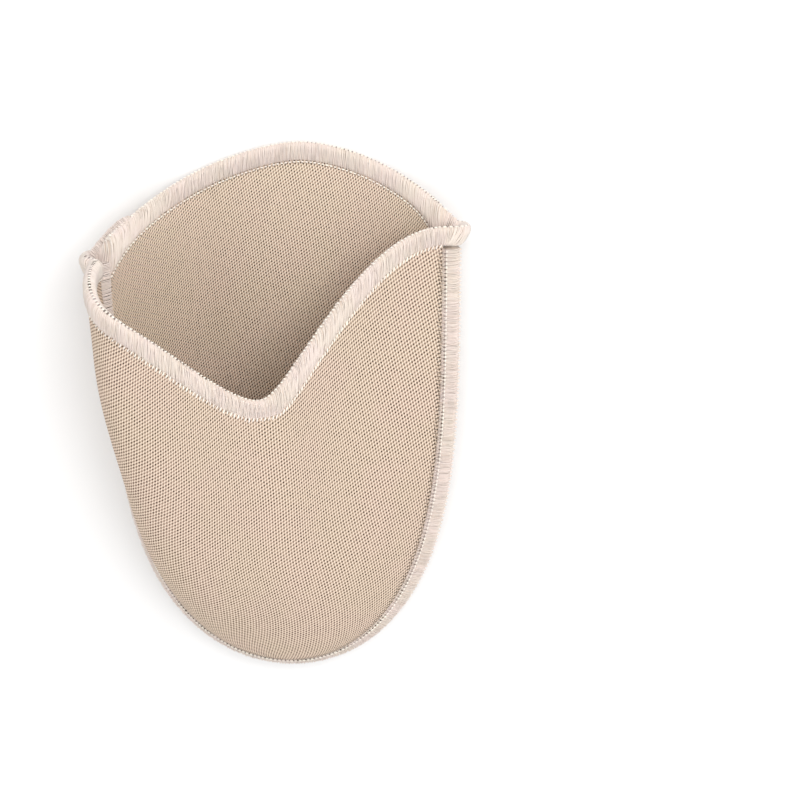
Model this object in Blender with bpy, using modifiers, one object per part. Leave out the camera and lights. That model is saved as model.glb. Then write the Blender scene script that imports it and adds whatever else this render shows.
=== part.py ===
"""Knitted ballet toe pad, lying on the flattened middle of its sole.

Two panels of thick knit are joined by an overlocked seam that runs from one ear
round the toe to the other. The vamp panel above has a V notch, the sole panel
below a domed end, and one overlocked band goes round the whole mouth, folded
over the end of the seam at each ear. The toe points to -Y, the mouth to +Y.
"""
import math

import bmesh
import bpy
import numpy as np

# Driving sizes, in metres
STITCH_HALF_WIDTH = 0.0385    # middle to the stitch line at an ear
STITCH_LENGTH = 0.1165        # toe stitch to the ears
NOTCH_DEPTH = 0.0372          # ears back to the bottom of the V
DOME_HEIGHT = 0.0132          # the band's end on the sole out to the end of the dome
CLOTH = 0.0016                # wall of either panel
BAND_WIDTH = 0.0049           # overlocked mouth band
BAND_THICKNESS = 0.0032
FLANGE_WIDTH = 0.0042         # overlocked seam, beyond its stitch line
FLANGE_THICKNESS = 0.0032
TOE_HEIGHT = 0.0080           # stitch line above the floor at the toe
LEFT_EAR_HEIGHT = 0.0190
RIGHT_EAR_HEIGHT = 0.0090
LEFT_ARCH_REACH = 0.0500      # how strongly the vamp rises from each side
RIGHT_ARCH_REACH = 0.0220
EAR_TIP_REACH = 0.0066        # stitch line to the fold, at the band's mouth edge
EAR_ROOT_REACH = 0.0036       # the same at its inner edge
GAP = 0.0003                  # between pieces that touch
EAR_GAP = 0.0009              # end of the seam to the folded band
EAR_STEP = 0.0048             # at an ear the band lies this much further out on the sole
LEFT_EAR_BACK = 0.0060        # how far the left ear is pulled towards the toe
LEFT_EAR_OUT = 0.0043         # and outwards

# Shares and counts
FLAT_SHARE = 0.42             # middle share of the sole that lies flat
TOE_RISE_SHARE = 0.25         # length share over which the sole curls up to the toe
PLAN_ROUNDNESS = 4.0          # higher is a blunter toe in plan
NOTCH_ROUNDING = 0.15         # share of the half width over which the V's bottom is rounded
LEFT_NOTCH_POWER = 1.08       # lower is a steeper start from the bottom of the V
RIGHT_NOTCH_POWER = 0.93
NOTCH_SHIFT = 0.09            # the lie of the notch, a share of half the panel
DOME_ROUNDNESS = 1.75
DOME_SHIFT = 0.11
EAR_OPENING_START = 0.82      # where the panels part to make room for the folded band
FLAP_FADE = 0.15              # length share over which the sole's sides settle past the ears
FLAP_LIFT_START = 0.80        # where the flap starts to rise to the thicker band that it ends in
FLAP_LIFT_END = 1.08
EAR_PULL_START = 0.45         # stations over which the pull at the left ear sets in
EAR_PULL_END = 0.95
EAR_PULL_POWER = 1.5          # higher keeps it closer to the ear

ACROSS = 26
ALONG = 22
NOTCH_STATIONS = 48
DOME_STATIONS = 40
FOLD_STATIONS = 7
SEAM_STATIONS = 64
ALONG_POWER = 1.8             # stations lie closer together near the toe
CORNER_POWER = 12             # the panels' corners are eased away from the folded band
GUSSET_POWER = 14             # the band widens at the sole's corners, to meet itself at the ears
GUSSET_CLEARANCE = 0.35       # share of that widening by which the sole keeps clear of it
EDGE_ROUNDING = 0.3           # share of a thickness
WELD = 0.00001
UP = np.array([0.0, 0.0, 1.0])

# One row for each station from the toe, 0, to the ears, 1. Rise is the share of the
# way from the toe's height to the ear's, turn the degrees at which the vamp leaves
# the seam plane's level, reach a share of the named arch reach and of the pad's
# width there, drop the degrees by which the flange points down.
SECTION_COLUMNS = ("station", "rise", "left_turn", "left_reach", "left_drop",
                   "right_turn", "right_reach", "right_drop")
SECTIONS = (
    (0.00, 0.00, 50, 0.55, 40, 50, 1.30, 40),
    (0.05, 0.10, 58, 0.60, 42, 46, 1.30, 32),
    (0.12, 0.25, 70, 0.65, 44, 40, 1.25, 24),
    (0.25, 0.50, 86, 0.74, 45, 32, 1.20, 14),
    (0.45, 0.80, 98, 0.85, 45, 26, 1.05, 8),
    (0.70, 1.00, 108, 0.98, 45, 18, 1.00, 6),
    (1.00, 1.00, 104, 1.06, 45, 12, 1.00, 6),
)
KNIT_COLOUR = (0.66, 0.53, 0.42, 1.0)
THREAD_COLOUR = (0.80, 0.70, 0.64, 1.0)


def section(column, station):
    """One column of SECTIONS at any station, as a smooth curve through its rows."""
    rows = np.array(SECTIONS, float)
    at = rows[:, 0]
    values = rows[:, SECTION_COLUMNS.index(column)]
    slopes = np.gradient(values, at)
    station = np.clip(station, 0.0, 1.0)
    low = np.clip(np.searchsorted(at, station, side="right") - 1, 0, len(at) - 2)
    span = at[low + 1] - at[low]
    u = (station - at[low]) / span
    return ((2 * u**3 - 3 * u**2 + 1) * values[low]
            + (u**3 - 2 * u**2 + u) * span * slopes[low]
            + (3 * u**2 - 2 * u**3) * values[low + 1]
            + (u**3 - u**2) * span * slopes[low + 1])


def smooth_step(start, end, value):
    """0 before start, 1 after end, with an even curve between."""
    share = np.clip((value - start) / (end - start), 0, 1)
    return share * share * (3 - 2 * share)


def half_width(station):
    """Middle to the stitch line."""
    return STITCH_HALF_WIDTH * np.sqrt(1 - (1 - np.clip(station, 0, 1)) ** PLAN_ROUNDNESS)


def seam_frame(station, side):
    """Stitch point, plan direction inwards, and the flange's own inward and upward directions."""
    station = np.asarray(station, float)
    side_name = "left" if side < 0 else "right"
    ear_height = LEFT_EAR_HEIGHT if side < 0 else RIGHT_EAR_HEIGHT
    height = TOE_HEIGHT + (ear_height - TOE_HEIGHT) * section("rise", station)
    point = np.stack([side * half_width(station), STITCH_LENGTH * station, height], -1)
    rest = 1 - np.clip(station, 0, 1)
    width_share = np.sqrt(np.maximum(1 - rest**PLAN_ROUNDNESS, 1e-12))
    widening = STITCH_HALF_WIDTH * PLAN_ROUNDNESS * rest ** (PLAN_ROUNDNESS - 1) / (2 * width_share)
    turn = np.arctan2(widening, STITCH_LENGTH)
    inward = np.stack([-side * np.cos(turn), np.sin(turn), np.zeros_like(turn)], -1)
    drop = np.radians(section(side_name + "_drop", station))[..., None]
    flange_inward = inward * np.cos(drop) + UP * np.sin(drop)
    flange_up = UP * np.cos(drop) - inward * np.sin(drop)
    return point, inward, flange_inward, flange_up


def ear_pull(share, station):
    """How far the pull at the left ear moves a point of either panel."""
    near = np.clip(-share, 0, 1) ** EAR_PULL_POWER
    pull = near * smooth_step(EAR_PULL_START, EAR_PULL_END, station)
    return pull[..., None] * np.array([-LEFT_EAR_OUT, -LEFT_EAR_BACK, 0.0])


def panel_edge(station, side, leave, above):
    """Where a panel starts at the seam: clear of the flange and of the other panel.

    leave is the angle at which the panel leaves the level, and above is 1 for the
    vamp and -1 for the sole.
    """
    point, inward, flange_inward, flange_up = seam_frame(station, side)
    side_name = "left" if side < 0 else "right"
    drop = np.radians(section(side_name + "_drop", station))
    opening = leave - above * drop
    back = CLOTH / 2 * np.sin(opening) + GAP
    lift = CLOTH / 2 * np.cos(opening) + GAP / 2
    opened = (BAND_THICKNESS + GAP) / 2
    lift = lift + (opened - lift) * smooth_step(EAR_OPENING_START, 1.0, station)
    edge = point + flange_inward * back[..., None] + above * flange_up * lift[..., None]
    return edge, inward


def arch_row(u, station):
    """The vamp's cross row at a station, u running from 0 at its left edge to 1 at its right."""
    ends = []
    for side, name, arch_reach in ((-1, "left", LEFT_ARCH_REACH), (1, "right", RIGHT_ARCH_REACH)):
        leave = np.radians(section(name + "_turn", station))
        edge, inward = panel_edge(station, side, leave, 1)
        width_share = half_width(station) / STITCH_HALF_WIDTH
        reach = (arch_reach * section(name + "_reach", station) * width_share)[..., None]
        level = inward * np.cos(leave)[..., None]
        ends.append((edge, edge + (level + UP * np.sin(leave)[..., None]) * reach))
    (start, start_handle), (end, end_handle) = ends
    u = u[..., None]
    return ((1 - u) ** 3 * start + 3 * u * (1 - u) ** 2 * start_handle
            + 3 * u * u * (1 - u) * end_handle + u**3 * end)


def even_parameter(share):
    """Turns a share of the panel's width, -1 to 1, into the row's own parameter."""
    u = np.linspace(0, 1, 201)
    row = arch_row(u, np.full_like(u, 1.0))
    length = np.concatenate([[0], np.cumsum(np.linalg.norm(np.diff(row, axis=0), axis=1))])
    return np.interp((share + 1) / 2, length / length[-1], u)


def vamp_surface(share, station):
    """Middle surface of the notched upper panel; share is -1 at the left edge, 1 at the right."""
    share, station = np.broadcast_arrays(np.asarray(share, float), np.asarray(station, float))
    return arch_row(even_parameter(share), station) + ear_pull(share, station)


def sole_surface(share, station):
    """Middle surface of the domed lower panel: flat in the middle, curled up to its edges."""
    share, station = np.broadcast_arrays(np.asarray(share, float), np.asarray(station, float))
    floor = CLOTH / 2 + (BAND_THICKNESS - CLOTH) / 2 * smooth_step(FLAP_LIFT_START, FLAP_LIFT_END, station)
    toe_rise = np.clip(1 - station / TOE_RISE_SHARE, 0, 1) ** 2
    run = np.maximum(half_width(station) * (1 - FLAT_SHARE), CLOTH)
    edges = []
    for side in (-1, 1):
        height = seam_frame(station, side)[0][..., 2]
        leave = np.arctan2(2 * height * (1 - toe_rise), run)
        edges.append(panel_edge(station, side, leave, -1)[0])
    left, right = edges
    middle = floor + ((left[..., 2] + right[..., 2]) / 2 - floor) * toe_rise
    settle = np.exp(-((np.clip(station - 1, 0, None) / FLAP_FADE) ** 2))
    edge = middle + (np.where(share < 0, left[..., 2], right[..., 2]) - middle) * settle
    outside = np.clip(np.abs(share) - FLAT_SHARE, 0, None) / (1 - FLAT_SHARE)
    blend = ((share + 1) / 2)[..., None]
    point = left * (1 - blend) + right * blend
    point[..., 2] = middle + (edge - middle) * outside**2
    return point + ear_pull(share, station)


def notch_station(share):
    """The mouth's edge on the vamp, lowest near the middle."""
    shifted = share - NOTCH_SHIFT * (1 - np.abs(share))
    rounded = np.hypot(shifted, NOTCH_ROUNDING) - NOTCH_ROUNDING
    rounded = rounded / (math.hypot(1, NOTCH_ROUNDING) - NOTCH_ROUNDING)
    power = np.where(shifted < 0, LEFT_NOTCH_POWER, RIGHT_NOTCH_POWER)
    rise = np.sin(math.pi / 2 * rounded**power)
    return 1 - NOTCH_DEPTH / STITCH_LENGTH * (1 - rise)


def dome_station(share):
    """The mouth's edge on the sole, highest near the middle."""
    shifted = share - DOME_SHIFT * (1 - np.abs(share))
    return 1 + (EAR_STEP + DOME_HEIGHT * (1 - np.abs(shifted) ** DOME_ROUNDNESS)) / STITCH_LENGTH


def inset_station(surface, edge_station, share, width):
    """The line that runs a width inside the mouth's edge, measured square to that edge.

    At the sole's corners it turns down to where the band ends on the vamp.
    """
    step = 0.01
    before = np.clip(share - step, -1, 1)
    after = np.clip(share + step, -1, 1)
    run = surface(after, edge_station(after)) - surface(before, edge_station(before))
    slope = run[..., 1] / np.linalg.norm(run, axis=-1)
    gusset = (edge_station(np.ones_like(share)) - 1) * np.abs(share) ** GUSSET_POWER
    return edge_station(share) - width / np.sqrt(1 - slope**2) / STITCH_LENGTH - gusset


def panel_points(surface, edge_station):
    """A panel as a function of two grid coordinates, both -1 to 1: across it, and toe to mouth."""
    def points(across, along):
        corner_gap = EAR_GAP + GUSSET_CLEARANCE * (edge_station(1.0) - 1) * STITCH_LENGTH
        gap = GAP + (corner_gap - GAP) * np.abs(across) ** CORNER_POWER
        end = inset_station(surface, edge_station, across, BAND_WIDTH + gap)
        return surface(across, end * ((along + 1) / 2) ** ALONG_POWER)
    return points


def flange_points(across, along):
    """The overlocked seam, from its stitch line outwards, left ear to toe to right ear."""
    ear_edges = [inset_station(surface, edge_station, np.array([side]), BAND_WIDTH)
                 for surface, edge_station in ((vamp_surface, notch_station), (sole_surface, dome_station))
                 for side in (-1.0, 1.0)]
    end = np.min(ear_edges) - EAR_GAP / STITCH_LENGTH
    station = end * np.abs(along) ** ALONG_POWER
    points = np.empty(across.shape + (3,))
    for side in (-1, 1):
        chosen = along <= 0 if side < 0 else along > 0
        stitch, _, inwards, _ = seam_frame(station[chosen], side)
        reach = (across[chosen] + 1) / 2 * (FLANGE_WIDTH - GAP) + GAP
        points[chosen] = stitch - inwards * reach[:, None] + ear_pull(side, station[chosen])
    return points


def band_lines():
    """Outer, middle and inner lines of the mouth band, once round and back to the start."""
    lines = []
    notch = np.linspace(-1, 1, NOTCH_STATIONS)
    dome = np.linspace(1, -1, DOME_STATIONS)
    runs = ((vamp_surface, notch_station, notch), (sole_surface, dome_station, dome))
    for (surface, edge_station, share), side in zip(runs, (1, -1)):
        edge = edge_station(share)
        inner = inset_station(surface, edge_station, share, BAND_WIDTH)
        lines.append(np.stack([surface(share, edge), surface(share, (edge + inner) / 2),
                               surface(share, inner)], 1))
    front, back = lines
    right_fold = fold_lines(front[-1], back[0], 1)
    left_fold = fold_lines(front[0], back[-1], -1)[::-1]
    return np.concatenate([front, right_fold, back, left_fold, front[:1]])


def fold_lines(vamp_end, sole_end, side):
    """The band's turn round the end of the seam at an ear, from the vamp to the sole."""
    _, _, inwards, _ = seam_frame(np.array(1.0), side)
    reaches = np.array([EAR_TIP_REACH, (EAR_TIP_REACH + EAR_ROOT_REACH) / 2, EAR_ROOT_REACH])
    under = sole_end.copy()
    under[:, 1] = vamp_end[:, 1]
    centre = (vamp_end + under) / 2
    half = (vamp_end - under) / 2
    radius = (BAND_THICKNESS + GAP) / 2
    turns = []
    for angle in np.linspace(0, math.pi, FOLD_STATIONS):
        out = (reaches[:, None] - radius) + radius * math.sin(angle)
        turns.append(centre + half * math.cos(angle) - inwards * out)
    return np.array(turns)


def band_points(across, along):
    """The mouth band as a function of two grid coordinates, across it and once round the mouth."""
    lines = band_lines()
    place = np.rint((along + 1) / 2 * (len(lines) - 1)).astype(int)
    column = np.rint(across + 1).astype(int)
    return lines[place, column]


def finish(name, colour, roughness):
    """A plain Principled material for one piece."""
    material = bpy.data.materials.new(name)
    material.use_nodes = True
    shader = material.node_tree.nodes["Principled BSDF"]
    shader.inputs["Base Color"].default_value = colour
    shader.inputs["Roughness"].default_value = roughness
    shader.inputs["Metallic"].default_value = 0.0
    return material


def sheet(name, points, across, along, thickness, material, rounding=0.0):
    """A closed wall of even thickness about a grid laid on a surface."""
    net = bmesh.new()
    bmesh.ops.create_grid(net, x_segments=across, y_segments=along, size=1.0)
    grid = np.array([vertex.co[:2] for vertex in net.verts])
    for vertex, place in zip(net.verts, points(grid[:, 0], grid[:, 1])):
        vertex.co = place
    bmesh.ops.remove_doubles(net, verts=net.verts, dist=WELD)
    mesh = bpy.data.meshes.new(name)
    net.to_mesh(mesh)
    net.free()
    mesh.shade_smooth()
    mesh.materials.append(material)
    piece = bpy.data.objects.new(name, mesh)
    wall = piece.modifiers.new("wall", "SOLIDIFY")
    wall.thickness = thickness
    wall.offset = 0.0
    wall.use_even_offset = True
    wall.use_quality_normals = True
    if rounding:
        edge = piece.modifiers.new("rounded edges", "BEVEL")
        edge.width = rounding
        edge.segments = 2
        edge.limit_method = "ANGLE"
        edge.angle_limit = math.radians(50)
    return piece


def stand_on_floor(pieces):
    """Moves every piece together: the box's middle over the origin, its lowest point at zero."""
    graph = bpy.context.evaluated_depsgraph_get()
    corners = []
    for piece in pieces:
        mesh = piece.evaluated_get(graph).data
        corners.extend(vertex.co[:] for vertex in mesh.vertices)
    low, high = np.min(corners, axis=0), np.max(corners, axis=0)
    for piece in pieces:
        piece.location = (-(low[0] + high[0]) / 2, -(low[1] + high[1]) / 2, -low[2])


def main():
    for old in list(bpy.data.objects):
        bpy.data.objects.remove(old, do_unlink=True)
    collection = bpy.data.collections.new("ballet_toe_pad")
    bpy.context.scene.collection.children.link(collection)
    rows = len(band_lines())
    pieces = [
        sheet("vamp_panel", panel_points(vamp_surface, notch_station), ACROSS, ALONG, CLOTH,
              finish("vamp_knit", KNIT_COLOUR, 0.9)),
        sheet("sole_panel", panel_points(sole_surface, dome_station), DOME_STATIONS - 1, ALONG, CLOTH,
              finish("sole_knit", KNIT_COLOUR, 0.9)),
        sheet("mouth_rim", band_points, 2, rows - 1, BAND_THICKNESS,
              finish("rim_thread", THREAD_COLOUR, 0.75), BAND_THICKNESS * EDGE_ROUNDING),
        sheet("side_seam", flange_points, 2, SEAM_STATIONS, FLANGE_THICKNESS,
              finish("seam_thread", THREAD_COLOUR, 0.75), FLANGE_THICKNESS * EDGE_ROUNDING),
    ]
    for piece in pieces:
        collection.objects.link(piece)
    stand_on_floor(pieces)


main()
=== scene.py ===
"""Looks of a knitted ballet toe pad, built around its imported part.

Two walls of thick knit get their loops, and every overlocked edge its real threads: a core,
the wraps that cover it, the needle stitches along its inner border, the short looper
teeth on its outer face and the purls along its rim.
"""
import math

import bmesh
import bpy
import numpy as np
from bpy.props import FloatProperty, FloatVectorProperty, IntProperty, PointerProperty
from mathutils import Matrix, Vector


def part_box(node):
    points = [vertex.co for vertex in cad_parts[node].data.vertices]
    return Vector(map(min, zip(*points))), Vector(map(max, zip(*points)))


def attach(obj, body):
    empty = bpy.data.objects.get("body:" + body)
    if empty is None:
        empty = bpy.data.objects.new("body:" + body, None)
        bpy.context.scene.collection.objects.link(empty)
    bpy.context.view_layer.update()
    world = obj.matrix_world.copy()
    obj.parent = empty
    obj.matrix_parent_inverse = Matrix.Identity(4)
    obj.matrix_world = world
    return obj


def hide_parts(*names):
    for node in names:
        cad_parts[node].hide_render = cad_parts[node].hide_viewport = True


bl_info = {
    "name": "Ballet toe pad",
    "version": (1, 0, 0),
    "blender": (4, 5, 0),
    "location": "View3D > Sidebar > Toe pad",
    "description": "Knit walls and overlocked edges of a ballet toe pad",
    "category": "Object",
}

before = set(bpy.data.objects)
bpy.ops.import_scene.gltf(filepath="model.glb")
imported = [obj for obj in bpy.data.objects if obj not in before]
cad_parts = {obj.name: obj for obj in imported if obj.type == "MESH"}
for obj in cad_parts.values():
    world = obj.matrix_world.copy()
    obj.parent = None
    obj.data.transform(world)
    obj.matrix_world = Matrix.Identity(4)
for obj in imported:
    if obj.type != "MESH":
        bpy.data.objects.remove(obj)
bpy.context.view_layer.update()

# Sizes of the part, in metres
MM = 0.001
STITCH_HALF_WIDTH = 0.0385  # middle to the stitch line at an ear
STITCH_LENGTH = 0.1165  # toe stitch to the ears
NOTCH_DEPTH = 0.0372  # ears back to the bottom of the V
DOME_HEIGHT = 0.0132  # the band's end on the sole out to the end of the dome
CLOTH = 0.0016  # wall of either panel
BAND_WIDTH = 0.0049  # overlocked mouth band
BAND_THICKNESS = 0.0032
FLANGE_WIDTH = 0.0042  # overlocked seam, beyond its stitch line
FLANGE_THICKNESS = 0.0032
TOE_HEIGHT = 0.0080  # stitch line above the floor at the toe
LEFT_EAR_HEIGHT = 0.0190
RIGHT_EAR_HEIGHT = 0.0090
LEFT_ARCH_REACH = 0.0500  # how strongly the vamp rises from each side
RIGHT_ARCH_REACH = 0.0220
EAR_TIP_REACH = 0.0066  # stitch line to the fold, at the band's mouth edge
EAR_ROOT_REACH = 0.0036  # the same at its inner edge
GAP = 0.0003  # between pieces that touch
EAR_GAP = 0.0009  # end of the seam to the folded band
EAR_STEP = 0.0048  # at an ear the band lies this much further out on the sole
LEFT_EAR_BACK = 0.0060  # how far the left ear is pulled towards the toe
LEFT_EAR_OUT = 0.0043  # and outwards

# Shares
FLAT_SHARE = 0.42  # middle share of the sole that lies flat
TOE_RISE_SHARE = 0.25  # length share over which the sole curls up to the toe
PLAN_ROUNDNESS = 4.0  # higher is a blunter toe in plan
NOTCH_ROUNDING = 0.15  # share of the half width over which the V's bottom is rounded
LEFT_NOTCH_POWER = 1.08  # lower is a steeper start from the bottom of the V
RIGHT_NOTCH_POWER = 0.93
NOTCH_SHIFT = 0.09  # the lie of the notch, a share of half the panel
DOME_ROUNDNESS = 1.75
DOME_SHIFT = 0.11
EAR_OPENING_START = 0.82  # where the panels part to make room for the folded band
FLAP_FADE = 0.15  # length share over which the sole's sides settle past the ears
FLAP_LIFT_START = 0.80  # where the flap starts to rise to the thicker band that it ends in
FLAP_LIFT_END = 1.08
EAR_PULL_START = 0.45  # stations over which the pull at the left ear sets in
EAR_PULL_END = 0.95
EAR_PULL_POWER = 1.5  # higher keeps it closer to the ear
GUSSET_POWER = 14  # the band widens at the sole's corners, to meet itself at the ears
ALONG_POWER = 1.8  # rows lie closer together near the toe

# Fineness of the meshes
CLOTH_ACROSS = 150
CLOTH_ALONG = 120
LINE_STATIONS = 500  # points on a line that stitches follow
FOLD_STATIONS = 40
CORE_STATIONS = 360
ROW_SAMPLES = 401
TABLE_STEP = 0.01  # share over which an edge's slope is measured

# Threads
CORE_INSET = 0.00028  # core's surface below the wraps'
CORE_SIDES = 16  # round each section of a core
CORE_FULLNESS = 0.75  # 1 is an oval section, lower is squarer
WRAP_ROUNDING = 0.44  # share of the thickness by which the wraps' corners are rounded
CLOTH_TUCK = 0.0006  # how far the cloth runs on under the band's threads
SEAM_TUCK = 0.0009  # how far the seam's threads reach in past the stitch line
FOLD_OVERLAP = 0.001  # how far the extra threads run on past the band's turn at an ear
INNER_THREADS_START = 0.70  # stations along which threads bridge the walls inside the seam
INNER_THREADS_END = 0.99
INNER_THREADS_REACH = 0.0012
INNER_THREADS_HEIGHT = 0.0038
EAR_ROLL_LENGTH = 0.0092  # how far the left ear's fold runs on along the dome
EAR_ROLL_WIDTH = 0.0038  # where it starts
EAR_ROLL_END = 0.0014  # where it ends
EAR_ROLL_BULGE = 0.0008  # how far its middle swells outwards
EAR_ROLL_PATH = ((0.45, 0.05), (0.9, 0.12), (1.0, 0.22))  # shares of its length, and inwards over the band
# The ear roll's dark dots are painted shade: beads of thread in shadow along its border
EAR_DOTS_SIDE = 0.95  # its dark dots' share of the half width
EAR_DOTS_LIFT = 0.52  # and of the band's thickness
WRAPS_A_STITCH = 3  # threads that lie side by side in one stitch
STITCH_GROOVE = 0.25  # wider step from one stitch's threads to the next, in thread pitches
FACE_STITCH_LIFT = CLOTH / 2 + 0.12 * MM  # stitches on a face, from the cloth's middle
NEEDLE_SHIFT = 0.1 * MM  # from the band's inner line towards its rim
TEETH_SHIFT = 0.15 * MM
TEETH_LEAN = 0.45  # along the band for each length across it
PURL_SINK = 0.16 * MM  # from the rim inwards
# Painted shade: dark beads set this far in from the rim, in the hollows between the purls
PURL_HOLLOW_SHADE_SINK = 0.12 * MM
SEAM_NEEDLE_SHIFT = 0.8 * MM  # from the stitch line outwards
SEAM_NEEDLE_SINK = 0.02 * MM
# Painted shade: dark beads set this far out, in the hollows beside the seam's needle stitches
SEAM_HOLLOW_SHADE_SHIFT = 0.3 * MM
SEAM_PURL_REACH = 0.02 * MM
SAME_POINT = 0.01 * MM
TINY = 1e-12  # keeps a division clear of zero
UP = np.array([0.0, 0.0, 1.0])

# How much each of the lattice's three waves deepens a hole of the knit
PIT_WEIGHTS = (0.27, 0.38, 0.35)

# Rows of wraps: width, thickness, seed after the thread's own, sway in degrees, unevenness,
# and the solid that they stand for
WRAP_ROWS = {
    "rim_wraps": (BAND_WIDTH, BAND_THICKNESS, 0, 4, 0.03, "mouth_rim"),
    "seam_wraps": (FLANGE_WIDTH + SEAM_TUCK, FLANGE_THICKNESS, 10, 4, 0.04, "side_seam"),
    "inner_threads": (2 * INNER_THREADS_REACH, INNER_THREADS_HEIGHT, 15, 5, 0.05),
    "ear_roll_threads": (EAR_ROLL_WIDTH, BAND_THICKNESS, 18, 5, 0.05),
}

# Rows of short stitches: length, width and height in millimetres, material, seed after the
# thread's own, sway in degrees and unevenness
SHORT_ROWS = {
    "needle_row": (0.8, 0.42, 0.4, "needle thread", 20, 9, 0.1),
    "looper_teeth": (1.35, 0.42, 0.42, "needle thread", 30, 10, 0.16),
    "rim_purls": (0.8, 0.4, 0.55, "needle thread", 50, 10, 0.12),
    # Dark beads of painted shade, set in the hollows between stitches
    "rim_purl_hollows": (0.40, 0.38, 0.75, "thread in shadow", 55, 10, 0.25),
    "seam_under_row": (0.8, 0.42, 0.4, "needle thread", 40, 9, 0.1),
    "seam_needle_row": (0.8, 0.42, 0.4, "needle thread", 40, 9, 0.1),
    # Dark beads of painted shade beside the seam's needle stitches
    "seam_needle_hollows": (0.34, 0.5, 0.36, "thread in shadow", 45, 9, 0.2),
    "seam_purls": (0.55, 0.8, 0.6, "pale thread", 60, 10, 0.12),
    # Dark dots of painted shade along the ear roll
    "ear_roll_hollows": (0.34, 0.8, 0.5, "thread in shadow", 19, 14, 0.25),
}

# Which settings colour each thread material, at its palest and at its deepest
THREAD_LOOKS = {"pale thread": ("colour", "shadow"), "needle thread": ("needle_colour", "colour"),
                # The cores are painted shade: wholly in the shadow colour, as only shade shows of them
                # between the wraps
                "packed thread": ("shadow", "shadow"),
                "thread in shadow": ("hollow_shade_colour", "hollow_shade_colour")}

# Shares of the way round the mouth between which its purls stand apart, and how large the dark beads of
# painted shade in the
# hollows beside them are: from the left ear to the bottom of the V, and on half of the dome
OPEN_PURLS = ((0.0, 0.21, 1.0), (0.5, 0.72, 0.6), (0.985, 1.01, 1.0))

# Each panel's cloth: stretch across and along and turn of its grain, a tone that makes the same knit paler
# or deeper on each panel, which is painted light (the sole is made paler to stand in for light inside the
# pocket), its flat size in metres before it is cut to shape, and the share of that which the shape keeps
CLOTHS = {"vamp": ((1.10, 1.19, math.radians(15)), 0.98, (0.106, 0.112), 0.78),
          "sole": ((1.0, 1.0, 0.0), 1.07, (0.084, 0.132), 0.88)}

# One row for each station from the toe, 0, to the ears, 1. Rise is the share of the
# way from the toe's height to the ear's, turn the degrees at which the vamp leaves
# the seam plane's level, reach a share of the named arch reach and of the pad's
# width there, drop the degrees by which the flange points down.
SECTION_COLUMNS = ("station", "rise", "left_turn", "left_reach", "left_drop",
                   "right_turn", "right_reach", "right_drop")
SECTIONS = (
    (0.00, 0.00, 50, 0.55, 40, 50, 1.30, 40),
    (0.05, 0.10, 58, 0.60, 42, 46, 1.30, 32),
    (0.12, 0.25, 70, 0.65, 44, 40, 1.25, 24),
    (0.25, 0.50, 86, 0.74, 45, 32, 1.20, 14),
    (0.45, 0.80, 98, 0.85, 45, 26, 1.05, 8),
    (0.70, 1.00, 108, 0.98, 45, 18, 1.00, 6),
    (1.00, 1.00, 104, 1.06, 45, 12, 1.00, 6),
)


# Shape of the pad, as in the part

def section(column, station):
    """One column of SECTIONS at any station, as a smooth curve through its rows."""
    rows = np.array(SECTIONS, float)
    at = rows[:, 0]
    values = rows[:, SECTION_COLUMNS.index(column)]
    slopes = np.gradient(values, at)
    station = np.clip(station, 0.0, 1.0)
    low = np.clip(np.searchsorted(at, station, side="right") - 1, 0, len(at) - 2)
    span = at[low + 1] - at[low]
    u = (station - at[low]) / span
    return ((2 * u**3 - 3 * u**2 + 1) * values[low]
            + (u**3 - 2 * u**2 + u) * span * slopes[low]
            + (3 * u**2 - 2 * u**3) * values[low + 1]
            + (u**3 - u**2) * span * slopes[low + 1])


def smooth_step(start, end, value):
    """0 before start, 1 after end, with an even curve between."""
    share = np.clip((value - start) / (end - start), 0, 1)
    return share * share * (3 - 2 * share)


def half_width(station):
    """Middle to the stitch line."""
    return STITCH_HALF_WIDTH * np.sqrt(1 - (1 - np.clip(station, 0, 1)) ** PLAN_ROUNDNESS)


def seam_frame(station, side):
    """Stitch point, plan direction inwards, and the flange's own inward and upward directions."""
    station = np.asarray(station, float)
    side_name = "left" if side < 0 else "right"
    ear_height = LEFT_EAR_HEIGHT if side < 0 else RIGHT_EAR_HEIGHT
    height = TOE_HEIGHT + (ear_height - TOE_HEIGHT) * section("rise", station)
    point = np.stack([side * half_width(station), STITCH_LENGTH * station, height], -1)
    rest = 1 - np.clip(station, 0, 1)
    width_share = np.sqrt(np.maximum(1 - rest**PLAN_ROUNDNESS, TINY))
    widening = STITCH_HALF_WIDTH * PLAN_ROUNDNESS * rest ** (PLAN_ROUNDNESS - 1) / (2 * width_share)
    turn = np.arctan2(widening, STITCH_LENGTH)
    inward = np.stack([-side * np.cos(turn), np.sin(turn), np.zeros_like(turn)], -1)
    drop = np.radians(section(side_name + "_drop", station))[..., None]
    flange_inward = inward * np.cos(drop) + UP * np.sin(drop)
    flange_up = UP * np.cos(drop) - inward * np.sin(drop)
    return point, inward, flange_inward, flange_up


def ear_pull(share, station):
    """How far the pull at the left ear moves a point of either panel."""
    near = np.clip(-share, 0, 1) ** EAR_PULL_POWER
    pull = near * smooth_step(EAR_PULL_START, EAR_PULL_END, station)
    return pull[..., None] * np.array([-LEFT_EAR_OUT, -LEFT_EAR_BACK, 0.0])


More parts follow.
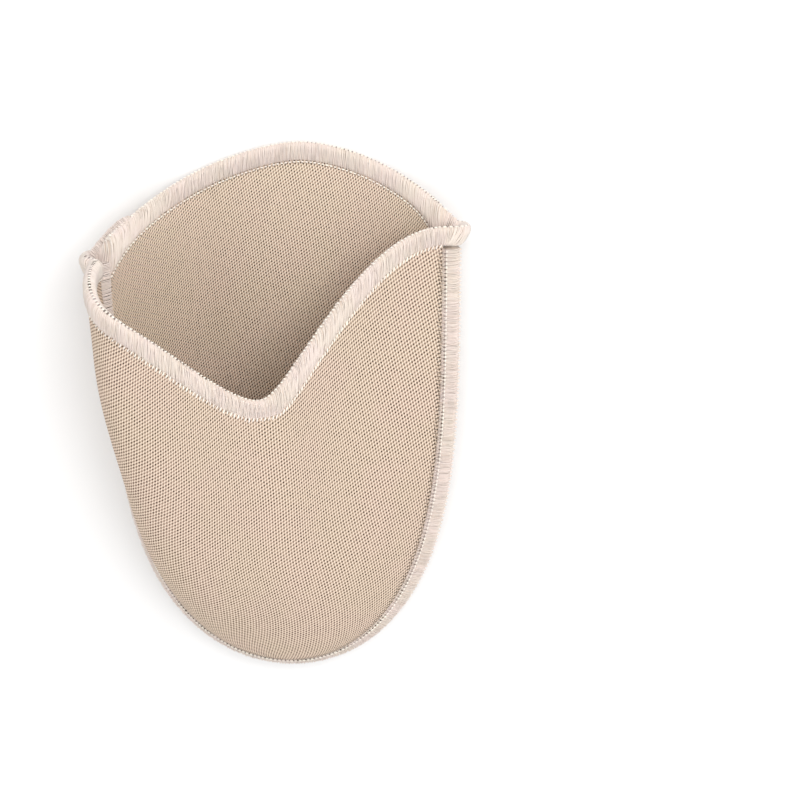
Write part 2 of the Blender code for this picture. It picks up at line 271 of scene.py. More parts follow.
def panel_edge(station, side, leave, above):
    """Where a panel starts at the seam: clear of the flange and of the other panel.

    leave is the angle at which the panel leaves the level, and above is 1 for the
    vamp and -1 for the sole.
    """
    point, inward, flange_inward, flange_up = seam_frame(station, side)
    side_name = "left" if side < 0 else "right"
    drop = np.radians(section(side_name + "_drop", station))
    opening = leave - above * drop
    back = CLOTH / 2 * np.sin(opening) + GAP
    lift = CLOTH / 2 * np.cos(opening) + GAP / 2
    opened = (BAND_THICKNESS + GAP) / 2
    lift = lift + (opened - lift) * smooth_step(EAR_OPENING_START, 1.0, station)
    edge = point + flange_inward * back[..., None] + above * flange_up * lift[..., None]
    return edge, inward


def arch_row(u, station):
    """The vamp's cross row at a station, u running from 0 at its left edge to 1 at its right."""
    ends = []
    for side, name, arch_reach in ((-1, "left", LEFT_ARCH_REACH), (1, "right", RIGHT_ARCH_REACH)):
        leave = np.radians(section(name + "_turn", station))
        edge, inward = panel_edge(station, side, leave, 1)
        width_share = half_width(station) / STITCH_HALF_WIDTH
        reach = (arch_reach * section(name + "_reach", station) * width_share)[..., None]
        level = inward * np.cos(leave)[..., None]
        ends.append((edge, edge + (level + UP * np.sin(leave)[..., None]) * reach))
    (start, start_handle), (end, end_handle) = ends
    u = u[..., None]
    return ((1 - u) ** 3 * start + 3 * u * (1 - u) ** 2 * start_handle
            + 3 * u * u * (1 - u) * end_handle + u**3 * end)


def even_parameter(share):
    """Turns a share of the panel's width, -1 to 1, into the row's own parameter."""
    u = np.linspace(0, 1, ROW_SAMPLES)
    row = arch_row(u, np.full_like(u, 1.0))
    length = run_of(row)
    return np.interp((share + 1) / 2, length / length[-1], u)


def vamp_surface(share, station):
    """Middle surface of the notched upper panel; share is -1 at the left edge, 1 at the right."""
    share, station = np.broadcast_arrays(np.asarray(share, float), np.asarray(station, float))
    return arch_row(even_parameter(share), station) + ear_pull(share, station)


def sole_surface(share, station):
    """Middle surface of the domed lower panel: flat in the middle, curled up to its edges."""
    share, station = np.broadcast_arrays(np.asarray(share, float), np.asarray(station, float))
    floor = CLOTH / 2 + (BAND_THICKNESS - CLOTH) / 2 * smooth_step(FLAP_LIFT_START, FLAP_LIFT_END, station)
    toe_rise = np.clip(1 - station / TOE_RISE_SHARE, 0, 1) ** 2
    run = np.maximum(half_width(station) * (1 - FLAT_SHARE), CLOTH)
    edges = []
    for side in (-1, 1):
        height = seam_frame(station, side)[0][..., 2]
        leave = np.arctan2(2 * height * (1 - toe_rise), run)
        edges.append(panel_edge(station, side, leave, -1)[0])
    left, right = edges
    middle = floor + ((left[..., 2] + right[..., 2]) / 2 - floor) * toe_rise
    settle = np.exp(-((np.clip(station - 1, 0, None) / FLAP_FADE) ** 2))
    edge = middle + (np.where(share < 0, left[..., 2], right[..., 2]) - middle) * settle
    outside = np.clip(np.abs(share) - FLAT_SHARE, 0, None) / (1 - FLAT_SHARE)
    blend = ((share + 1) / 2)[..., None]
    point = left * (1 - blend) + right * blend
    point[..., 2] = middle + (edge - middle) * outside**2
    return point + ear_pull(share, station)


def notch_station(share):
    """The mouth's edge on the vamp, lowest near the middle."""
    shifted = share - NOTCH_SHIFT * (1 - np.abs(share))
    rounded = np.hypot(shifted, NOTCH_ROUNDING) - NOTCH_ROUNDING
    rounded = rounded / (math.hypot(1, NOTCH_ROUNDING) - NOTCH_ROUNDING)
    power = np.where(shifted < 0, LEFT_NOTCH_POWER, RIGHT_NOTCH_POWER)
    rise = np.sin(math.pi / 2 * rounded**power)
    return 1 - NOTCH_DEPTH / STITCH_LENGTH * (1 - rise)


def dome_station(share):
    """The mouth's edge on the sole, highest near the middle."""
    shifted = share - DOME_SHIFT * (1 - np.abs(share))
    return 1 + (EAR_STEP + DOME_HEIGHT * (1 - np.abs(shifted) ** DOME_ROUNDNESS)) / STITCH_LENGTH


def inset_station(surface, edge_station, share, width):
    """The line that runs a width inside the mouth's edge, measured square to that edge.

    At the sole's corners it turns down to where the band ends on the vamp.
    """
    before = np.clip(share - TABLE_STEP, -1, 1)
    after = np.clip(share + TABLE_STEP, -1, 1)
    run = surface(after, edge_station(after)) - surface(before, edge_station(before))
    slope = run[..., 1] / np.linalg.norm(run, axis=-1)
    gusset = (edge_station(np.ones_like(share)) - 1) * np.abs(share) ** GUSSET_POWER
    return edge_station(share) - width / np.sqrt(1 - slope**2) / STITCH_LENGTH - gusset


def fold_lines(vamp_end, sole_end, side):
    """The band's turn round the end of the seam at an ear, from the vamp to the sole."""
    _, _, inwards, _ = seam_frame(np.array(1.0), side)
    reaches = np.array([EAR_TIP_REACH, (EAR_TIP_REACH + EAR_ROOT_REACH) / 2, EAR_ROOT_REACH])
    under = sole_end.copy()
    under[:, 1] = vamp_end[:, 1]
    centre = (vamp_end + under) / 2
    half = (vamp_end - under) / 2
    radius = (BAND_THICKNESS + GAP) / 2
    turns = []
    for angle in np.linspace(0, math.pi, FOLD_STATIONS):
        out = (reaches[:, None] - radius) + radius * math.sin(angle)
        turns.append(centre + half * math.cos(angle) - inwards * out)
    return np.array(turns)


MOUTH_EDGES = {"vamp": (vamp_surface, notch_station), "sole": (sole_surface, dome_station)}


def mouth_lines(panel, stations):
    """Outer, middle and inner lines of the band on one panel, from its left end to its right."""
    surface, edge_station = MOUTH_EDGES[panel]
    share = np.linspace(-1, 1, stations)
    edge = edge_station(share)
    inner = inset_station(surface, edge_station, share, BAND_WIDTH)
    return np.stack([surface(share, edge), surface(share, (edge + inner) / 2),
                     surface(share, inner)], 1)


def band_lines():
    """Outer, middle and inner lines of the mouth band, once round and back to the start."""
    front = mouth_lines("vamp", LINE_STATIONS)
    back = mouth_lines("sole", LINE_STATIONS)[::-1]
    right_fold = fold_lines(front[-1], back[0], 1)
    left_fold = fold_lines(front[0], back[-1], -1)[::-1]
    return np.concatenate([front, right_fold, back, left_fold, front[:1]])


def seam_end():
    """The station where the overlocked seam stops short of the folded band."""
    ends = [inset_station(surface, edge_station, np.array([side]), BAND_WIDTH)
            for surface, edge_station in MOUTH_EDGES.values() for side in (-1.0, 1.0)]
    return float(np.min(ends) - EAR_GAP / STITCH_LENGTH)


# Lines and directions

def unit(vectors):
    """Vectors brought to length one."""
    return vectors / np.maximum(np.linalg.norm(vectors, axis=-1, keepdims=True), TINY)


def run_of(line):
    """Distance from the start of a line to each of its points."""
    return np.concatenate([[0], np.cumsum(np.linalg.norm(np.diff(line, axis=0), axis=1))])


def along_line(line, distance, *others):
    """Values of a line and of what goes with it, at distances from its start."""
    run = run_of(line)
    found = []
    for values in (line, *others):
        columns = values.reshape(len(values), -1)
        found.append(np.stack([np.interp(distance, run, column) for column in columns.T], -1)
                     .reshape(len(distance), *values.shape[1:]))
    return found


def stitch_count(length, pitch):
    """Whole stitches on a line, at least two."""
    return max(int(round(length / pitch)), 2)


def spaced(length, pitch):
    """Distances of evenly spaced stitches on a line."""
    count = stitch_count(length, pitch)
    return (np.arange(count) + 0.5) * length / count


def grouped(length, pitch):
    """Distances of threads that lie in groups, a stitch pitch apart."""
    stitches_at = spaced(length, pitch)
    step = length / len(stitches_at) / (WRAPS_A_STITCH + STITCH_GROOVE)
    within = (np.arange(WRAPS_A_STITCH) - (WRAPS_A_STITCH - 1) / 2) * step
    return (stitches_at[:, None] + within).ravel()


def turns(first, second):
    """Quaternions that turn X to the first direction, Y as near as can be to the second."""
    first = unit(first)
    third = unit(np.cross(first, second))
    second = np.cross(third, first)
    return np.array([Matrix((a, b, c)).transposed().to_quaternion()
                     for a, b, c in zip(first, second, third)])


def band_length():
    """Distance once round the mouth band."""
    return run_of(band_lines()[:, 1])[-1]


def band_frames(distance):
    """Centre, width direction, outward direction and true width of the band at distances round it.

    The directions are taken within each length of the band, as its lines step at the ears.
    """
    outer, middle, inner = np.moveaxis(band_lines(), 1, 0)
    lengths = np.split(middle[:-1], np.cumsum([LINE_STATIONS, FOLD_STATIONS, LINE_STATIONS]))
    run_direction = [unit(np.gradient(length, axis=0)) for length in lengths]
    run_direction = np.concatenate([*run_direction, run_direction[0][:1]])
    _, outer, inner, run_direction = along_line(middle, distance, outer, inner, run_direction)
    across = outer - inner
    width = np.linalg.norm(across, axis=1)
    outwards = unit(np.cross(run_direction, unit(across)))
    return (outer + inner) / 2, across / width[:, None], outwards, width


def stitch_line(stations=LINE_STATIONS):
    """The seam's stitch points, inward and upward directions, left ear to toe to right ear."""
    end = seam_end() + (EAR_GAP - GAP) / STITCH_LENGTH
    share = np.linspace(-1, 1, stations)
    points, inwards, upwards = np.empty((3, stations, 3))
    for side in (-1, 1):
        chosen = share < 0 if side < 0 else share >= 0
        at = end * np.abs(share[chosen]) ** ALONG_POWER
        points[chosen], _, inwards[chosen], upwards[chosen] = seam_frame(at, side)
        points[chosen] += ear_pull(side, at)
    return points, inwards, upwards


def packed_place():
    """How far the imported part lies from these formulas' own origin, by its band's corner."""
    reach = band_lines().reshape(-1, 3).max(0)
    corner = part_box("mouth_rim")[1]
    return np.array([corner.x - reach[0] - BAND_THICKNESS / 2, corner.y - reach[1], 0.0])


PLACE = packed_place()


# Meshes

def new_object(name, mesh):
    """An object at the origin for a finished mesh."""
    piece = bpy.data.objects.new(name, mesh)
    bpy.context.scene.collection.objects.link(piece)
    return piece


def new_mesh(name, points, faces=()):
    """A mesh of points that the formulas give, set where the part lies."""
    mesh = bpy.data.meshes.new(name)
    mesh.from_pydata((points + PLACE).reshape(-1, 3).tolist(), [], faces)
    return mesh


def reworked(mesh, rework):
    """Changes a mesh by a bmesh operation, and shades it smooth."""
    net = bmesh.new()
    net.from_mesh(mesh)
    rework(net)
    net.to_mesh(mesh)
    net.free()
    mesh.shade_smooth()


def settled(piece):
    """Bakes a piece's modifiers into a plain mesh."""
    graph = bpy.context.evaluated_depsgraph_get()
    mesh = bpy.data.meshes.new_from_object(piece.evaluated_get(graph))
    piece.modifiers.clear()
    old, piece.data = piece.data, mesh
    bpy.data.meshes.remove(old)
    mesh.name = piece.name
    return piece


def carried(piece, slot, *nodes):
    """Puts a finished piece on the pad, in place of the plain solids that it stands for."""
    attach(piece, "root")
    if nodes:
        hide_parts(*nodes)


def grid_mesh(name, grid, maps):
    """A mesh of a grid of points, with UV maps that are given at the same points."""
    corner = np.arange(grid[..., 0].size).reshape(grid.shape[:2])
    faces = np.stack([corner[:-1, :-1], corner[:-1, 1:], corner[1:, 1:], corner[1:, :-1]], -1)
    mesh = new_mesh(name, grid, faces.reshape(-1, 4).tolist())
    vertex = np.empty(len(mesh.loops), int)
    mesh.loops.foreach_get("vertex_index", vertex)
    for map_name, values in maps.items():
        layer = mesh.uv_layers.new(name=map_name)
        layer.data.foreach_set("uv", values.reshape(-1, 2)[vertex].astype(np.float32).ravel())
    return mesh


def walled(piece, thickness):
    """Gives an open surface an even wall, and bakes it."""
    reworked(piece.data, lambda net: bmesh.ops.remove_doubles(net, verts=net.verts, dist=SAME_POINT))
    wall = piece.modifiers.new("wall", "SOLIDIFY")
    wall.thickness = thickness
    wall.offset = 0.0
    wall.use_even_offset = True
    wall.use_quality_normals = True
    settled(piece)


def swept(name, centre, across, outwards, half_width, half_height, closed):
    """A solid of oval sections set along a line, either closed on itself or capped."""
    angle = np.arange(CORE_SIDES) * 2 * math.pi / CORE_SIDES
    side_reach, face_reach = (np.sign(wave) * np.abs(wave) ** CORE_FULLNESS
                              for wave in (np.cos(angle), np.sin(angle)))
    half_width = np.broadcast_to(half_width, len(centre))[:, None, None]
    rings = (centre[:, None] + across[:, None] * half_width * side_reach[:, None]
             + outwards[:, None] * half_height * face_reach[:, None])
    corner = np.arange(len(rings) * CORE_SIDES).reshape(-1, CORE_SIDES)
    looped = np.concatenate([corner, corner[:1]]) if closed else corner
    side = np.roll(looped, -1, axis=1)
    faces = np.stack([looped[:-1], looped[1:], side[1:], side[:-1]], -1).reshape(-1, 4).tolist()
    if not closed:
        faces += [corner[0].tolist(), corner[-1][::-1].tolist()]
    mesh = new_mesh(name, rings, faces)
    reworked(mesh, lambda net: bmesh.ops.recalc_face_normals(net, faces=net.faces))
    return new_object(name, mesh)


# Node trees

def socket(tree, name, kind, direction="INPUT", default=None, subtype=None):
    """A named socket on a node tree's interface."""
    made = tree.interface.new_socket(name=name, in_out=direction, socket_type=kind)
    if default is not None:
        made.default_value = default
    if subtype:
        made.subtype = subtype
    return made


def node(tree, kind, inputs=None, **settings):
    """A node with its settings, and its inputs given as values or as sockets to link."""
    made = tree.nodes.new(kind)
    for key, value in settings.items():
        setattr(made, key, value)
    for key, value in (inputs or {}).items():
        if isinstance(value, bpy.types.NodeSocket):
            tree.links.new(value, made.inputs[key])
        else:
            made.inputs[key].default_value = value
    return made


def output(tree, kind, inputs=None, **settings):
    """The first output of a new node."""
    return node(tree, kind, inputs, **settings).outputs[0]


def maths(tree, operation, first, second=0.0, third=0.0):
    """The output of one Math node."""
    return output(tree, "ShaderNodeMath", {0: first, 1: second, 2: third}, operation=operation)


def vector_maths(tree, operation, first, second):
    """The output of one Vector Math node, whose second input is a number where it scales."""
    inputs = {0: first, "Scale" if operation == "SCALE" else 1: second}
    return output(tree, "ShaderNodeVectorMath", inputs, operation=operation)


# Repeated stitches, by Geometry Nodes

STITCH_ATTRIBUTES = {"turn": "QUATERNION", "size": "FLOAT_VECTOR"}


def random_value(tree, kind, low, high, seed, step):
    """A random number or vector for each stitch, drawn some steps after the seed."""
    first = 0 if kind == "FLOAT_VECTOR" else 2
    made = node(tree, "FunctionNodeRandomValue",
                {first: low, first + 1: high, "Seed": maths(tree, "ADD", seed, step)}, data_type=kind)
    return made.outputs[first // 2]


def stitch_tree(name, shape, sizes):
    """A tree that sets one shape on every guide point, a little uneven, as one mesh.

    shape builds the repeated shape from the tree and its group input, and sizes names the
    lengths it takes.
    """
    tree = bpy.data.node_groups.new(name, "GeometryNodeTree")
    socket(tree, "Guide", "NodeSocketGeometry")
    for size in sizes:
        socket(tree, size, "NodeSocketFloat", default=MM, subtype="DISTANCE")
    socket(tree, "Sway", "NodeSocketFloat", default=0.05, subtype="ANGLE")
    socket(tree, "Unevenness", "NodeSocketFloat", default=0.05)
    socket(tree, "Seed", "NodeSocketInt", default=0)
    socket(tree, "Material", "NodeSocketMaterial")
    socket(tree, "Stitches", "NodeSocketGeometry", "OUTPUT")
    given = node(tree, "NodeGroupInput").outputs
    turn, size = (node(tree, "GeometryNodeInputNamedAttribute", {"Name": attribute},
                       data_type=kind).outputs["Attribute"]
                  for attribute, kind in STITCH_ATTRIBUTES.items())
    bounds = [output(tree, "ShaderNodeCombineXYZ", {1: bound, 2: bound})
              for bound in (maths(tree, "MULTIPLY", given["Sway"], -1.0), given["Sway"])]
    sway = random_value(tree, "FLOAT_VECTOR", *bounds, given["Seed"], 0)
    swayed = output(tree, "FunctionNodeEulerToRotation", {0: sway})
    turned = output(tree, "FunctionNodeRotateRotation", {0: turn, 1: swayed}, rotation_space="LOCAL")
    swell = random_value(tree, "FLOAT", maths(tree, "SUBTRACT", 1.0, given["Unevenness"]),
                         maths(tree, "ADD", 1.0, given["Unevenness"]), given["Seed"], 1)
    placed = output(tree, "GeometryNodeInstanceOnPoints",
                    {"Points": given["Guide"], "Instance": shape(tree, given), "Rotation": turned,
                     "Scale": vector_maths(tree, "SCALE", size, swell)})
    shade = random_value(tree, "FLOAT", 0.0, 1.0, given["Seed"], 2)
    shaded = output(tree, "GeometryNodeStoreNamedAttribute",
                    {"Geometry": placed, "Name": "strand", "Value": shade},
                    data_type="FLOAT", domain="INSTANCE")
    real = output(tree, "GeometryNodeRealizeInstances", {0: shaded})
    smooth = output(tree, "GeometryNodeSetShadeSmooth", {"Geometry": real})
    finished = output(tree, "GeometryNodeSetMaterial",
                      {"Geometry": smooth, "Material": given["Material"]})
    node(tree, "NodeGroupOutput", {"Stitches": finished})
    return tree


def wrap_shape(tree, given):
    """One thread wound round an edge: a thin tube on an oblong with round corners."""
    oblong = output(tree, "GeometryNodeCurvePrimitiveQuadrilateral",
                    {"Width": given["Width"], "Height": given["Height"]})
    rounded = output(tree, "GeometryNodeFilletCurve",
                     {"Curve": oblong, "Radius": given["Rounding"], "Count": 3, "Limit Radius": True},
                     mode="POLY")
    section_ring = output(tree, "GeometryNodeCurvePrimitiveCircle",
                          {"Resolution": 3, "Radius": given["Thread Radius"]})
    return output(tree, "GeometryNodeCurveToMesh", {"Curve": rounded, "Profile Curve": section_ring})


def bead_shape(tree, given):
    """One short stitch: a long bead of thread."""
    ball = output(tree, "GeometryNodeMeshUVSphere", {"Segments": 8, "Rings": 5, "Radius": 0.5})
    size = output(tree, "ShaderNodeCombineXYZ",
                  {0: given["Length"], 1: given["Width"], 2: given["Height"]})
    return output(tree, "GeometryNodeTransform", {"Geometry": ball, "Scale": size})


STITCH_TREES = {
    "thread wraps": (wrap_shape, ("Width", "Height", "Rounding", "Thread Radius")),
    "short stitches": (bead_shape, ("Length", "Width", "Height")),
}


def stitches(thread, name, kind, points, first, second, sizes, material, seed, sway, unevenness, scale):
    """A piece of repeated stitches on points, their X along the first direction, Y near the second."""
    tree = bpy.data.node_groups.get(kind) or stitch_tree(kind, *STITCH_TREES[kind])
    guide = new_mesh(name, points)
    turned = guide.attributes.new("turn", STITCH_ATTRIBUTES["turn"], "POINT")
    turned.data.foreach_set("value", turns(first, second).astype(np.float32).ravel())
    sized = guide.attributes.new("size", STITCH_ATTRIBUTES["size"], "POINT")
    scale = np.broadcast_to(scale, (len(points), 3))
    sized.data.foreach_set("vector", scale.astype(np.float32).ravel())
    piece = new_object(name, guide)
    modifier = piece.modifiers.new(kind, "NODES")
    modifier.node_group = tree
    values = {"Sway": math.radians(sway), "Unevenness": unevenness, "Seed": thread.seed + seed,
              "Material": thread_material(material, thread), **sizes}
    for item in tree.interface.items_tree:
        if item.in_out == "INPUT" and item.name in values:
            modifier[item.identifier] = values[item.name]
    settled(piece)
    if not len(piece.data.polygons):
        raise RuntimeError(f"{name} has no stitches")
    for attribute in STITCH_ATTRIBUTES:
        if attribute in piece.data.attributes:
            piece.data.attributes.remove(piece.data.attributes[attribute])
    return piece


# Materials

def shader_group(name, inputs, outputs):
    """An empty shader node group with named sockets, and the outputs of its input node."""
    tree = bpy.data.node_groups.new(name, "ShaderNodeTree")
    for socket_name, kind, default in inputs:
        socket(tree, socket_name, kind, default=default)
    for socket_name, kind in outputs:
        socket(tree, socket_name, kind, "OUTPUT")
    return tree, node(tree, "NodeGroupInput").outputs


def smooth_range(tree, value, low, high, to_low=0.0, to_high=1.0):
    """The output of a Map Range node with a smooth curve."""
    inputs = {"Value": value, "From Min": low, "From Max": high, "To Min": to_low, "To Max": to_high}
    return output(tree, "ShaderNodeMapRange", inputs, interpolation_type="SMOOTHSTEP")


def blended(tree, share, first, second):
    """The output of a Mix node on colours."""
    return node(tree, "ShaderNodeMix", {0: share, 6: first, 7: second}, data_type="RGBA").outputs[2]


def knit_group():
    """Loops of a fine tricot: masks of holes on a diamond lattice and of slanting ridges between, with
    their height; the holes are where painted shade goes, the ridges where painted highlight goes.
    """
    tree, given = shader_group(
        "knit loops",
        (("Vector", "NodeSocketVector", None), ("Loop Width", "NodeSocketFloat", 1.27 * MM),
         ("Loop Height", "NodeSocketFloat", 0.79 * MM), ("Slant", "NodeSocketFloat", math.radians(10)),
         ("Waviness", "NodeSocketFloat", 0.12 * MM)),
        (("Hole", "NodeSocketFloat"), ("Ridge", "NodeSocketFloat"), ("Height", "NodeSocketFloat")))
    wave = node(tree, "ShaderNodeTexNoise", {"Vector": given["Vector"], "Scale": 90.0, "Detail": 2.0})
    centred = vector_maths(tree, "SUBTRACT", wave.outputs["Color"], (0.5, 0.5, 0.5))
    shift = vector_maths(tree, "SCALE", centred, given["Waviness"])
    waved = vector_maths(tree, "ADD", given["Vector"], shift)
    slanted = output(tree, "ShaderNodeVectorRotate",
                     {"Vector": waved, "Angle": maths(tree, "MULTIPLY", given["Slant"], -1.0)},
                     rotation_type="Z_AXIS")
    part = node(tree, "ShaderNodeSeparateXYZ", {0: slanted}).outputs
    across = maths(tree, "DIVIDE", part["X"], given["Loop Width"])
    along = maths(tree, "DIVIDE", part["Y"], given["Loop Height"])
    rising = maths(tree, "ADD", across, along)
    falling = maths(tree, "SUBTRACT", across, along)
    wales = maths(tree, "MULTIPLY", across, 2.0)
    rows = [maths(tree, "COSINE", maths(tree, "MULTIPLY", line, 2 * math.pi))
            for line in (rising, falling, wales)]
    pit = 0.0
    for row, weight in zip(rows, PIT_WEIGHTS):
        pit = maths(tree, "MULTIPLY_ADD", row, weight, pit)
    cell = output(tree, "ShaderNodeCombineXYZ",
                  {0: maths(tree, "ROUND", rising), 1: maths(tree, "ROUND", falling)})
    chance = node(tree, "ShaderNodeTexWhiteNoise", {"Vector": cell}, noise_dimensions="2D")
    depth = smooth_range(tree, chance.outputs["Value"], 0.0, 1.0, to_low=0.6)
    hole = maths(tree, "MULTIPLY", smooth_range(tree, pit, low=0.05, high=0.7), depth)
    crest = maths(tree, "MULTIPLY", maths(tree, "ADD", rows[1], rows[2]), 0.5)
    ridge = smooth_range(tree, crest, low=0.0, high=-0.75)
    height = maths(tree, "SUBTRACT", maths(tree, "MULTIPLY", ridge, 0.45), hole)
    node(tree, "NodeGroupOutput", {"Hole": hole, "Ridge": ridge, "Height": height})
    return tree


def needle_hole_group():
    """Holes that the needle leaves along a border, and the slight pucker between them."""
    tree, given = shader_group(
        "needle holes",
        (("Border", "NodeSocketVector", None), ("Reach", "NodeSocketFloat", 0.9 * MM),
         ("Pucker Reach", "NodeSocketFloat", 2.8 * MM)),
        (("Hole", "NodeSocketFloat"), ("Pucker", "NodeSocketFloat")))
    part = node(tree, "ShaderNodeSeparateXYZ", {0: given["Border"]}).outputs
    beat = maths(tree, "COSINE", maths(tree, "MULTIPLY", part["X"], 2 * math.pi))
    near = smooth_range(tree, part["Y"], maths(tree, "MULTIPLY", given["Reach"], 1.3), given["Reach"])
    hole = maths(tree, "MULTIPLY", smooth_range(tree, beat, low=-0.4, high=-0.95), near)
    fade = smooth_range(tree, part["Y"], given["Pucker Reach"], 0.0)
    pucker = maths(tree, "MULTIPLY", beat, fade)
    node(tree, "NodeGroupOutput", {"Hole": hole, "Pucker": pucker})
    return tree


def mottle_group():
    """Faint uneven tint and wear of a textile, in the piece's own coordinates."""
    tree, given = shader_group(
        "textile mottle",
        (("Vector", "NodeSocketVector", None), ("Scale", "NodeSocketFloat", 60.0),
         ("Amount", "NodeSocketFloat", 0.1), ("Base", "NodeSocketColor", None),
         ("Tint", "NodeSocketColor", None)),
        (("Color", "NodeSocketColor"),))
    broad = node(tree, "ShaderNodeTexNoise",
                 {"Vector": given["Vector"], "Scale": given["Scale"], "Detail": 3.0})
    share = smooth_range(tree, broad.outputs["Fac"], low=0.35, high=0.65)
    part = maths(tree, "MULTIPLY", share, given["Amount"])
    node(tree, "NodeGroupOutput", {"Color": blended(tree, part, given["Base"], given["Tint"])})
    return tree


GROUP_MAKERS = {"knit loops": knit_group, "needle holes": needle_hole_group, "textile mottle": mottle_group}


def placed_group(tree, name, inputs):
    """One use of a shared group, which is built at its first use."""
    group = bpy.data.node_groups.get(name) or GROUP_MAKERS[name]()
    return node(tree, "ShaderNodeGroup", inputs, node_tree=group).outputs


def new_material(name, roughness, sheen, specular):
    """A Principled material with constants on its own sockets."""
    material = bpy.data.materials.new(name)
    material.use_nodes = True
    shader = material.node_tree.nodes["Principled BSDF"]
    shader.inputs["Roughness"].default_value = roughness
    shader.inputs["Specular IOR Level"].default_value = specular
    shader.inputs["Sheen Weight"].default_value = sheen
    shader.inputs["Sheen Roughness"].default_value = 0.5
    return material, material.node_tree, shader


def toned(colour, tone):
    """A colour made paler or deeper, with full alpha."""
    return (*(min(part * tone, 1.0) for part in colour), 1.0)


def own_place(tree):
    """The piece's own coordinates."""
    return node(tree, "ShaderNodeTexCoord").outputs["Object"]


def knit_material(name, knit, tone):
    """Beige knit with its holes, ridges, needle holes and a little unevenness; painted shade darkens its
    holes and needle holes, painted highlight pales its ridges, and its tone is painted light that pales or
    deepens it as a whole.
    """
    material, tree, shader = new_material(name, roughness=0.85, sheen=0.02, specular=0.08)
    cut, mouth, side = (output(tree, "ShaderNodeUVMap", uv_map=map_name)
                        for map_name in ("cut", "mouth", "side"))
    loops = placed_group(tree, "knit loops",
                         {"Vector": cut, "Loop Width": knit.loop_width, "Loop Height": knit.loop_height,
                          "Slant": knit.slant})
    at_mouth = placed_group(tree, "needle holes", {"Border": mouth})
    at_side = placed_group(tree, "needle holes", {"Border": side})
    # The tone is painted light: the same knit is made paler on the sole, to stand in for light inside the
    # pocket, and a little deeper on the vamp
    base = placed_group(tree, "textile mottle",
                        {"Vector": own_place(tree), "Scale": 70.0, "Amount": 0.5,
                         "Base": toned(knit.colour, tone), "Tint": toned(knit.tint, tone)})["Color"]
    # Painted shade: the holes between the loops and the needle holes are darkened towards this colour
    dark = (*knit.hole_shade_colour, 1.0)
    # Painted highlight: the ridges between the holes are paled towards this colour
    lit = toned(knit.ridge_highlight_colour, tone)
    ridged = blended(tree, maths(tree, "MULTIPLY", loops["Ridge"], 0.85), base, lit)
    holed = blended(tree, maths(tree, "MULTIPLY", loops["Hole"], 0.95), ridged, dark)
    needle = maths(tree, "MAXIMUM", at_mouth["Hole"], at_side["Hole"])
    colour = blended(tree, maths(tree, "MULTIPLY", needle, 0.65), holed, dark)
    tree.links.new(colour, shader.inputs["Base Color"])
    roughness = maths(tree, "SUBTRACT", 0.95, maths(tree, "MULTIPLY", loops["Ridge"], 0.2))
    tree.links.new(roughness, shader.inputs["Roughness"])
    pucker = maths(tree, "MULTIPLY", maths(tree, "ADD", at_mouth["Pucker"], at_side["Pucker"]), 0.4)
    height = maths(tree, "ADD", maths(tree, "SUBTRACT", loops["Height"], needle), pucker)
    bump = output(tree, "ShaderNodeBump", {"Height": height, "Strength": 0.7, "Distance": knit.relief})
    tree.links.new(bump, shader.inputs["Normal"])
    return material


def thread_material(name, thread):
    """Spun thread, every strand darkened at random towards the shadow colour as painted shade, with fine
    fibres along it. Made at its first use.
    """
    if name in bpy.data.materials:
        return bpy.data.materials[name]
    colour, shadow = (getattr(thread, setting) for setting in THREAD_LOOKS[name])
    material, tree, shader = new_material(name, roughness=0.6, sheen=0.2, specular=0.25)
    strand = node(tree, "ShaderNodeAttribute", attribute_name="strand").outputs["Fac"]
    place = own_place(tree)
    base = placed_group(tree, "textile mottle",
                        {"Vector": place, "Scale": 160.0, "Amount": 0.5, "Base": (*colour, 1.0),
                         "Tint": (*thread.tint, 1.0)})["Color"]
    # Painted shade: some strands darkened at random towards the shadow colour
    share = maths(tree, "MULTIPLY", maths(tree, "POWER", strand, 2.0), 0.45)
    tree.links.new(blended(tree, share, base, (*shadow, 1.0)), shader.inputs["Base Color"])
    fibres = output(tree, "ShaderNodeTexNoise", {"Vector": place, "Scale": 6000.0, "Detail": 2.0})
    roughness = smooth_range(tree, fibres, low=0.3, high=0.7, to_low=0.5, to_high=0.75)
    tree.links.new(roughness, shader.inputs["Roughness"])
    bump = output(tree, "ShaderNodeBump", {"Height": fibres, "Strength": 0.3, "Distance": 0.05 * MM})
    tree.links.new(bump, shader.inputs["Normal"])
    return material


# Settings

def length_setting(name, description, millimetres):
    """A length among the settings."""
    return FloatProperty(name=name, description=description, default=millimetres * MM,
                         subtype="DISTANCE", unit="LENGTH", precision=5)


def colour_setting(name, description, default):
    """A colour among the settings, in linear light."""
    return FloatVectorProperty(name=name, description=description, default=default,
                               subtype="COLOR", min=0, max=1)


class ToePadKnit(bpy.types.PropertyGroup):
    """Loops and colours of the knit walls"""
    loop_width: length_setting("Loop width", "Width of one full loop of the knit", 1.27)
    loop_height: length_setting("Loop height", "Height of one full loop of the knit", 0.79)
    slant: FloatProperty(name="Slant", description="Turn of the knit's rows against the pad's width",
                         default=math.radians(10), subtype="ANGLE")
    relief: length_setting("Relief", "Depth of the holes between the loops", 0.22)
    colour: colour_setting("Colour", "Colour of the yarn", (0.60, 0.46, 0.345))
    tint: colour_setting("Tint", "Second tone of the yarn", (0.63, 0.45, 0.37))
    # Painted highlight laid on the ridges between the holes
    ridge_highlight_colour: colour_setting("Ridge colour", "Lit top of the loops", (0.98, 0.83, 0.69))
    # Painted shade put into the holes between the loops and into the needle holes
    hole_shade_colour: colour_setting("Hole colour", "Depth between the loops", (0.035, 0.02, 0.012))


